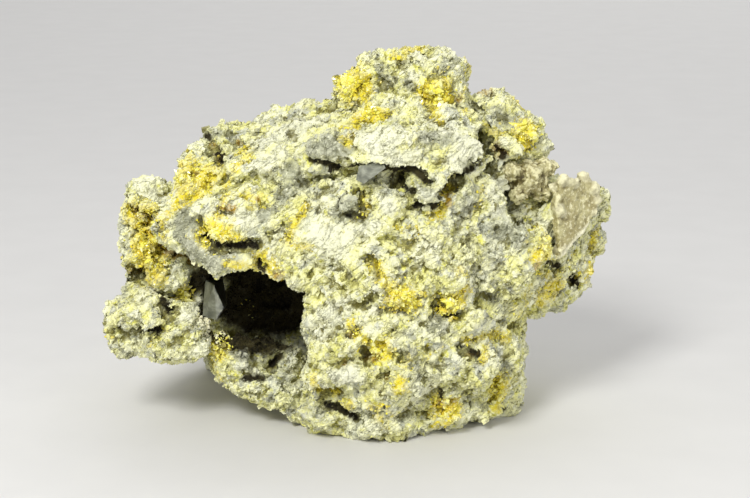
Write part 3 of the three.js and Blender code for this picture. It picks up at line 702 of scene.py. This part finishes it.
def place_copies(name, shapes, places, axes, sizes, turns, attributes, draw):
    """One mesh of many copies: each shape turned to its axis, scaled and set at its place."""
    corners, faces, picked = [], [], []
    first = 0
    choice = draw.integers(len(shapes), size=len(places))
    for index, (place, axis, size, turn) in enumerate(zip(places, axes, sizes, turns)):
        shape_points, shape_faces = shapes[choice[index]]
        swing = Vector((0, 0, 1)).rotation_difference(Vector(axis)).to_matrix()
        around = np.array(swing @ Matrix.Rotation(turn, 3, "Z"))
        corners.append((shape_points * size) @ around.T + place)
        faces.append(shape_faces + first)
        first += len(shape_points)
        picked.append(np.full(len(shape_points), index))
    corners = np.concatenate(corners).astype(np.float32)
    faces = np.concatenate(faces)
    picked = np.concatenate(picked)
    mesh = bpy.data.meshes.new(name)
    mesh.from_pydata(corners, [], faces)
    for attribute, values in attributes.items():
        give_attribute(mesh, attribute, values[picked])
    piece = bpy.data.objects.new(name, mesh)
    bpy.context.scene.collection.objects.link(piece)
    return piece


def triangles_of(piece):
    """A mesh's points and its faces as triangles, then the piece is removed."""
    piece.data.calc_loop_triangles()
    corners = points_of(piece.data).copy()
    faces = np.array([t.vertices[:] for t in piece.data.loop_triangles])
    bpy.data.objects.remove(piece)
    return corners, faces


def crumb_shapes(count, draw):
    """Broken bits: cubes with every corner moved, so that each has twelve odd faces."""
    shapes = []
    for _ in range(count):
        bpy.ops.object.select_all(action="DESELECT")
        bpy.ops.mesh.primitive_cube_add(size=1.5, location=(0, 0, 0))
        corners, faces = triangles_of(bpy.context.object)
        chipped = corners * draw.uniform(0.55, 1.25, (len(corners), 3))
        shapes.append((chipped * draw.uniform((1.0, 0.8, 0.45), (1.5, 1.2, 0.8)), faces))
    return shapes


class Skin:
    """The faces of a finished mesh, to draw random places on."""

    def __init__(self, piece):
        piece.data.calc_loop_triangles()
        self.points = points_of(piece.data).astype(float)
        corners = np.empty(len(piece.data.loop_triangles) * 3, np.int32)
        piece.data.loop_triangles.foreach_get("vertices", corners)
        self.faces = corners.reshape(-1, 3)
        a, b, c = (self.points[self.faces[:, i]] for i in range(3))
        self.area = np.linalg.norm(np.cross(b - a, c - a), axis=1) / 2
        self.middle = (a + b + c) / 3
        self.facing = points_of(piece.data, "normal").astype(float)[self.faces[:, 0]]

    def draw_places(self, count, weight, draw):
        """Random places, their outward directions and the nearest corner of each."""
        share = self.area * weight
        face = draw.choice(len(self.faces), size=count, p=share / share.sum())
        u, v = draw.random((2, count))
        over = u + v > 1
        u[over], v[over] = 1 - u[over], 1 - v[over]
        a, b, c = (self.points[self.faces[face, i]] for i in range(3))
        places = a + (b - a) * u[:, None] + (c - a) * v[:, None]
        return places, self.facing[face], self.faces[face, 0]


skin = Skin(rock)
CLEAR_OF_TABLE = 3 * MM
CRUMB_SPREAD, SMALLEST_CRUMB, LARGEST_CRUMB, CRUMB_SUNK = 0.45, 0.22, 1.9, 0.1
LEAN = 0.45  # how far axes stray from the way they would point
ONCE_ROUND = 6.28
# Each mesh: its crumbs, whether they are in front, their usual half width in mm, and its seed.
CRUMBS = {
    "rock_crumbs_front": (15000, True, 0.62, 5),
    "rock_grit_front": (15500, True, 0.42, 7),
    "rock_crumbs_back": (15500, False, 0.62, 6),
}
BED_AXIS = np.array([-math.sin(BED_SLOPE), 0, math.cos(BED_SLOPE)])
in_front = np.clip(0.5 - 1.2 * skin.facing[:, 1] - skin.middle[:, 1] / 0.08, 0, 1)
above_ground = (skin.middle[:, 2] > CLEAR_OF_TABLE).astype(float)
inside_box = np.all((skin.middle > cad_low + MM) & (skin.middle < cad_high - MM), axis=1)
for name, (count, front, half, seed) in CRUMBS.items():
    draw = np.random.default_rng(seed)
    weight = (in_front if front else 1 - in_front) * above_ground * inside_box + 1e-9
    count = count
    places, facing, corner = skin.draw_places(count, weight, draw)
    sizes = draw.lognormal(math.log(half), CRUMB_SPREAD, count)
    sizes = np.clip(sizes, SMALLEST_CRUMB, LARGEST_CRUMB) * MM
    sunk = places - facing * (CRUMB_SUNK * sizes)[:, None]
    axes = BED_AXIS * draw.choice([-1, 1], (count, 1)) + draw.normal(0, LEAN, (count, 3))
    # Each crumb takes the stains and the painted shade of the skin under it, with its tone changed at random.
    tone = {kind: values[corner] for kind, values in stains_and_shade.items()}
    tone["hollow"] = np.clip(tone["hollow"] - 0.1 + draw.normal(0, 0.16, count), 0, 1)
    for kind, strength in (("white", 0.55), ("grey", 0.5), ("yellow", 0.5)):
        tone[kind] = np.clip(tone[kind] + strength * (draw.random(count) ** 3), 0, 1)
    shapes = crumb_shapes(6, draw)
    piece = place_copies(name, shapes, sunk, axes, sizes, draw.uniform(0, ONCE_ROUND, count), tone, draw)
    piece.data.materials.append(limestone)
    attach(piece, "root")


# ---------------------------------------------------------------- sulfur crystals
# Native sulfur has grown in the pockets as crusts of small orthorhombic crystals, steep double pyramids
# with flat ends, each grown onto the rock and into the next. The largest are 6 mm long, half of it sunk.

def sulfur_shape(waist, end, half_length, blunt=0):
    """One crystal: a four-sided pyramid cut flat, mirrored, with its edges worn if blunt is above 0."""
    bpy.ops.object.select_all(action="DESELECT")
    bpy.ops.mesh.primitive_cone_add(vertices=4, radius1=waist, radius2=end, depth=half_length,
                                    location=(0, 0, half_length / 2), end_fill_type="NGON")
    piece = bpy.context.object
    bpy.ops.object.transform_apply(location=True, rotation=True, scale=True)
    bpy.ops.object.mode_set(mode="EDIT")
    bpy.ops.mesh.select_all(action="SELECT")
    bpy.ops.transform.resize(value=(0.8, 1, 1), center_override=(0, 0, 0))
    bpy.ops.mesh.duplicate()
    bpy.ops.transform.resize(value=(1, 1, -1), center_override=(0, 0, 0))
    bpy.ops.mesh.select_all(action="SELECT")
    bpy.ops.mesh.remove_doubles(threshold=1e-4)
    bpy.ops.object.mode_set(mode="OBJECT")
    inner = [p.index for p in piece.data.polygons if abs(p.center.z) < 1e-4 and abs(p.normal.z) > 0.9]
    bpy.ops.object.mode_set(mode="EDIT")
    bpy.ops.mesh.select_mode(type="FACE")
    bpy.ops.mesh.select_all(action="DESELECT")
    bpy.ops.object.mode_set(mode="OBJECT")
    for index in inner:
        piece.data.polygons[index].select = True
    bpy.ops.object.mode_set(mode="EDIT")
    bpy.ops.mesh.delete(type="ONLY_FACE")
    bpy.ops.mesh.select_all(action="SELECT")
    bpy.ops.mesh.normals_make_consistent(inside=False)
    if blunt:
        bpy.ops.mesh.bevel(offset=blunt, segments=1, affect="EDGES")
    bpy.ops.object.mode_set(mode="OBJECT")
    return triangles_of(piece)


CRYSTAL_SHAPES = [
    sulfur_shape(0.62, 0.20, 1.0, 0.07), sulfur_shape(0.70, 0.30, 0.8, 0.08),
    sulfur_shape(0.55, 0.12, 1.15, 0.06), sulfur_shape(0.8, 0.42, 0.62, 0.08),
]
GRAIN_SHAPES = [sulfur_shape(0.7, 0.3, 0.9), sulfur_shape(0.8, 0.4, 0.65)]

# Sulfur is resinous and lets a little light in: pale yellow on top, honey to amber in the hollows, with a
# soft wet gloss on its faces. Its refractive index is about 2.
sulfur, tree = new_material("native_sulfur_resinous")
where = node(tree, "ShaderNodeTexCoord").outputs["Object"]
tone = painted(tree, "tone")
depth_colour = mixed(tree, ramp(tree, tone, 0.0, 0.5), "#F8F6AE", "#F4EC58")
depth_colour = mixed(tree, ramp(tree, tone, 0.5, 1.0), depth_colour, "#E2C030")
depth_colour = mixed(tree, ramp(tree, noise(tree, 1.6), 0.55, 0.75), depth_colour, "#FAF4A0")
resin = node(tree, "ShaderNodeBsdfPrincipled", {"Base Color": depth_colour}, Roughness=0.26, IOR=1.96)
resin.inputs["Transmission Weight"].default_value = 0.06
resin.inputs["Specular IOR Level"].default_value = 0.5
node(tree, "ShaderNodeOutputMaterial", {"Surface": resin.outputs["BSDF"]})

# Each group: how many crystals, the largest half length in mm, its tone from pale 0 to amber 1, and how
# far past its own box it spreads on the rock, in mm.
GROUPS = {
    "sulfur_left_pocket": (260, 2.6, 0.62, 3),
    "sulfur_shoulder_crust": (204, 1.7, 0.35, 5),
    "sulfur_ledge_cluster": (148, 1.8, 0.3, 3),
    "sulfur_peak_flank": (186, 2.2, 0.5, 3),
    "sulfur_neck_cluster": (117, 2.0, 0.4, 2),
    "sulfur_peak_pocket": (148, 2.4, 0.4, 3),
    "sulfur_right_shoulder": (142, 2.5, 0.5, 2),
    "sulfur_right_edge": (155, 2.3, 0.35, 3),
    "sulfur_face_centre": (136, 2.0, 0.5, 3),
    "sulfur_face_right": (111, 2.2, 0.5, 2),
    "sulfur_lower_pocket": (105, 1.9, 0.45, 2),
    "sulfur_foot_cluster": (111, 1.8, 0.6, 2),
    "sulfur_lower_right": (105, 1.7, 0.4, 2),
    "sulfur_cave_cluster": (105, 2.2, 0.4, 2),
    "sulfur_cave_floor": (105, 1.9, 0.4, 3),
}
DEEPEST_TONE = 0.8


def crystal_crust(name, weight, count, half, tone, seed, shapes=CRYSTAL_SHAPES):
    """Crystals up to half times 2 mm long on the skin, where weight is above 0, as one piece."""
    draw = np.random.default_rng(seed)
    places, facing, corner = skin.draw_places(count, weight, draw)
    sizes = half * MM * (0.26 + 0.72 * draw.random(count) ** 3)
    axes = facing + draw.normal(0, LEAN, (count, 3))
    tones = tone + draw.normal(0, 0.16, count) + 0.5 * (stains_and_shade["hollow"][corner] - 0.5)
    tones = np.clip(tones, 0, DEEPEST_TONE)
    turns = draw.uniform(0, 2 * math.pi, count)
    piece = place_copies(name, shapes, places, axes, sizes, turns, {"tone": tones}, draw)
    piece.data.materials.append(sulfur)
    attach(piece, "root")
    return piece


# Each group thins out in patches, so that it has bare spots and a ragged edge.
PATCH_WAVES = np.array([[1.0, 0.3, -0.5], [0.4, -0.9, 0.6], [-0.3, 0.8, 1.0]])
PATCH_PITCH = 2 * math.pi / (11 * MM)
for seed, (name, (count, half, tone, spread)) in enumerate(GROUPS.items()):
    low, high = (np.array(corner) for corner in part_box(name))
    middle, half_box = (low + high) / 2, (high - low) / 2 + spread * MM
    away = np.linalg.norm((skin.middle - middle) / half_box, axis=1)
    patches = np.sin(skin.middle @ PATCH_WAVES * PATCH_PITCH).prod(axis=1)
    weight = np.clip(1.0 - away + 0.5 * patches, 0, 1) ** 2 * inside_box * above_ground + 1e-12
    piece = crystal_crust(name + "_crystals", weight, count, half, tone, seed)
    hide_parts(name)

# Single small crystals are sprinkled over the rock wherever it is stained yellow.
SPRINKLED = 6000
yellow_here = stains_and_shade["yellow"][skin.faces[:, 0]] ** 2 * above_ground * inside_box + 1e-12
crystal_crust("sulfur_sprinkle", yellow_here, SPRINKLED, 1.0, 0.4, 77, GRAIN_SHAPES)


# ---------------------------------------------------------------- calcite crust
# Knobbly tan calcite that coats the right wing beside the plate: waxy grape-like knobs grown together.

KNOB_VOXEL = 0.7 * MM
crust = merged_copy("calcite_crust", "calcite_crust_knobs")
apply_modifier(crust, "REMESH", mode="VOXEL", voxel_size=KNOB_VOXEL)
apply_modifier(crust, "SMOOTH", factor=0.5, iterations=8)


def lumpy(piece, name, cell, depth, mid_level, kind="CLOUDS"):
    """Presses sharp-edged lumps into a piece, with cells and depth in mm."""
    texture = bpy.data.textures.new(name, kind)
    texture.noise_scale = cell * MM
    if kind == "CLOUDS":
        texture.noise_type = "HARD_NOISE"
    apply_modifier(piece, "DISPLACE", texture=texture, texture_coords="LOCAL", strength=depth * MM,
                   mid_level=mid_level)


lumpy(crust, "knobs", 4.5, -2.4, 0.3, kind="VORONOI")
lumpy(crust, "lumps", 3, 1.8, 0.3)
lumpy(crust, "sugar", 1.5, 1.3, 0.3)
pick_only(crust)
bpy.ops.object.shade_smooth()
give_attribute(crust.data, "hollow", hollows(crust.data))

# Calcite, clouded tan by clay and slightly waxy, finely sugary where it broke, cream along broken rims, with
# painted brown shade in its creases and a painted cream highlight on its knobs.
calcite, tree = new_material("tan_calcite_waxy")
where = node(tree, "ShaderNodeTexCoord").outputs["Object"]
tan = mixed(tree, ramp(tree, noise(tree, 9), 0.4, 0.65), "#A69B68", "#C2BB86")
tan = mixed(tree, ramp(tree, noise(tree, 3), 0.5, 0.7), tan, "#8F8658")
tan = mixed(tree, ramp(tree, noise(tree, 1.3, detail=3), 0.5, 0.68), tan, "#E4DFB4")
hollow = painted(tree, "hollow")
# Painted shade in the creases and a painted highlight on the knobs, from how deep the skin lies.
tan = mixed(tree, ramp(tree, hollow, 0.55, 0.95), tan, "#857A4A", blend="MULTIPLY")
tan = mixed(tree, ramp(tree, hollow, 0.42, 0.1), tan, "#E9E3B2")
rim = painted(tree, "rim")
tan = mixed(tree, ramp(tree, rim, 0.35, 0.8), tan, "#EFEBC8")
sugar_height = math_node(tree, "ADD", noise(tree, 0.9, detail=3), noise(tree, 2.2))
sugar = node(tree, "ShaderNodeBump", {"Height": sugar_height}, Strength=0.8, Distance=0.8 * MM)
wax = node(tree, "ShaderNodeBsdfPrincipled", {"Base Color": tan, "Normal": sugar.outputs["Normal"]},
           Roughness=0.5, IOR=1.6)
node(tree, "ShaderNodeOutputMaterial", {"Surface": wax.outputs["BSDF"]})
crust.data.materials.append(calcite)
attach(crust, "root")
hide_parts("calcite_crust")


# ---------------------------------------------------------------- calcite plate
# A flat broken plate of the same calcite that leans on the wing, with a white frosted rim where it has
# chipped.

plate = merged_copy("calcite_plate", "calcite_plate_face")
low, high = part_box("calcite_plate")

# Cream knobs on its edge: share of its width, share of its height, radius in mm.
EDGE_KNOBS = [
    (0.10, 0.86, 1.9), (0.28, 0.96, 2.2), (0.40, 0.92, 1.5), (0.52, 0.90, 1.8), (0.70, 0.93, 2.4),
    (0.80, 0.88, 1.7), (0.92, 0.80, 2.5), (0.97, 0.66, 2), (0.93, 0.52, 1.6), (0.20, 0.62, 2),
    (0.28, 0.57, 1.5), (0.14, 0.12, 1.5), (0.24, 0.13, 1.2), (0.34, 0.16, 1),
]
plate_tree = tree_of(plate)
KNOB_SUNK, KNOB_SWELL = 0.6, 1.4  # shares of a knob's radius
knobs, knob_places = [], []
for across, up, radius in EDGE_KNOBS:
    x, z = low.x + across * (high.x - low.x), low.z + up * (high.z - low.z)
    place = front_at(x / MM, z / MM, plate_tree) or Vector((x, low.y + across * (high.y - low.y), z))
    bpy.ops.object.select_all(action="DESELECT")
    place = place + Vector((0, KNOB_SUNK * radius * MM, 0))
    bpy.ops.mesh.primitive_ico_sphere_add(subdivisions=2, radius=KNOB_SWELL * radius * MM, location=place)
    knobs.append(bpy.context.object)
    knob_places.append((np.array(place), radius))
pick_only(plate)
for knob in knobs:
    knob.select_set(True)
bpy.ops.object.join()
bpy.ops.object.transform_apply(location=True, rotation=True, scale=True)
apply_modifier(plate, "REMESH", mode="VOXEL", voxel_size=KNOB_VOXEL)
apply_modifier(plate, "SMOOTH", factor=0.5, iterations=3)
lumpy(plate, "chips", 6, 1.6, 0.5)
lumpy(plate, "bites", 2.5, 0.5, 0.5)
lumpy(plate, "frost", 1.4, 0.3, 0.5)
pick_only(plate)
bpy.ops.object.shade_smooth()
corners = points_of(plate.data)
rim = np.zeros(len(corners), np.float32)
for place, radius in knob_places:
    rim = np.maximum(rim, 0.55 * np.clip(2.2 - np.linalg.norm(corners - place, axis=1) / (radius * MM), 0, 1))
share = (corners - corners.min(axis=0)) / np.ptp(corners, axis=0)
rim = np.maximum(rim, np.clip(8 * (0.62 * share[:, 0] - share[:, 2] - 0.01), 0, 1))
give_attribute(plate.data, "rim", rim)
give_attribute(plate.data, "hollow", hollows(plate.data))
plate.data.materials.append(calcite)
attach(plate, "root")
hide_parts("calcite_plate")


# ---------------------------------------------------------------- grey spar
# Two broken wedges of grey spar, grown fast in the rock: a thin blade that stands out of the left wall of
# the hollow, and a chip caught under the brow. Their faces are cleavage planes, so they are almost flat.

# Spar is glassy but cloudy: slate grey with paler clouds; faces turned towards +x get painted shade,
# nearly black.
spar, tree = new_material("grey_cleaved_spar")
where = node(tree, "ShaderNodeTexCoord").outputs["Object"]
slate = mixed(tree, ramp(tree, noise(tree, 5, warp=1.0), 0.35, 0.7), "#66685A", "#A4A692")
slate = mixed(tree, ramp(tree, noise(tree, 1.2), 0.6, 0.8), slate, "#C2C4B0")
shade = painted(tree, "shaded_face")
slate = mixed(tree, ramp(tree, shade, 0.5, 0.8), slate, "#2A2B26")
glassy = node(tree, "ShaderNodeBsdfPrincipled", {"Base Color": slate}, Roughness=0.28, IOR=1.62)
glassy.inputs["Transmission Weight"].default_value = 0.12
node(tree, "ShaderNodeOutputMaterial", {"Surface": glassy.outputs["BSDF"]})
WORN_EDGE = 0.15 * MM
for name in ("spar_blade", "spar_chip"):
    wedge = merged_copy(name, name + "_face")
    apply_modifier(wedge, "BEVEL", width=WORN_EDGE, segments=1)
    apply_modifier(wedge, "SUBSURF", subdivision_type="SIMPLE", levels=3)
    lumpy(wedge, name + "_steps", 3.5, 0.25, 0.6)
    # Painted shade: how far each face turns towards +x, for the material to darken it.
    give_attribute(wedge.data, "shaded_face", np.clip(0.5 + points_of(wedge.data, "normal")[:, 0], 0, 1))
    wedge.data.materials.append(spar)
    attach(wedge, "root")
    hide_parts(name)

# Frosted white grains have grown on the rock around the foot of the blade.
WHITE_GRAINS = 90
GRAINS_REACH = 10 * MM
draw = np.random.default_rng(31)
low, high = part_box("spar_blade")
foot = np.array([(low.x + high.x) / 2, low.y, low.z])
near_foot = np.clip(1 - np.linalg.norm(skin.middle - foot, axis=1) / GRAINS_REACH, 0, 1) ** 2 + 1e-12
places, facing, corner = skin.draw_places(WHITE_GRAINS, near_foot, draw)
sizes = draw.uniform(0.6, 1.5, WHITE_GRAINS) * MM
axes = facing + draw.normal(0, 0.5, (WHITE_GRAINS, 3))
frosted = {"rim": np.ones(WHITE_GRAINS), "hollow": draw.uniform(0.2, 0.7, WHITE_GRAINS)}
grains = place_copies("white_grains_at_spar", GRAIN_SHAPES, places, axes, sizes,
                      draw.uniform(0, 2 * math.pi, WHITE_GRAINS), frosted, draw)
grains.data.materials.append(calcite)
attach(grains, "root")
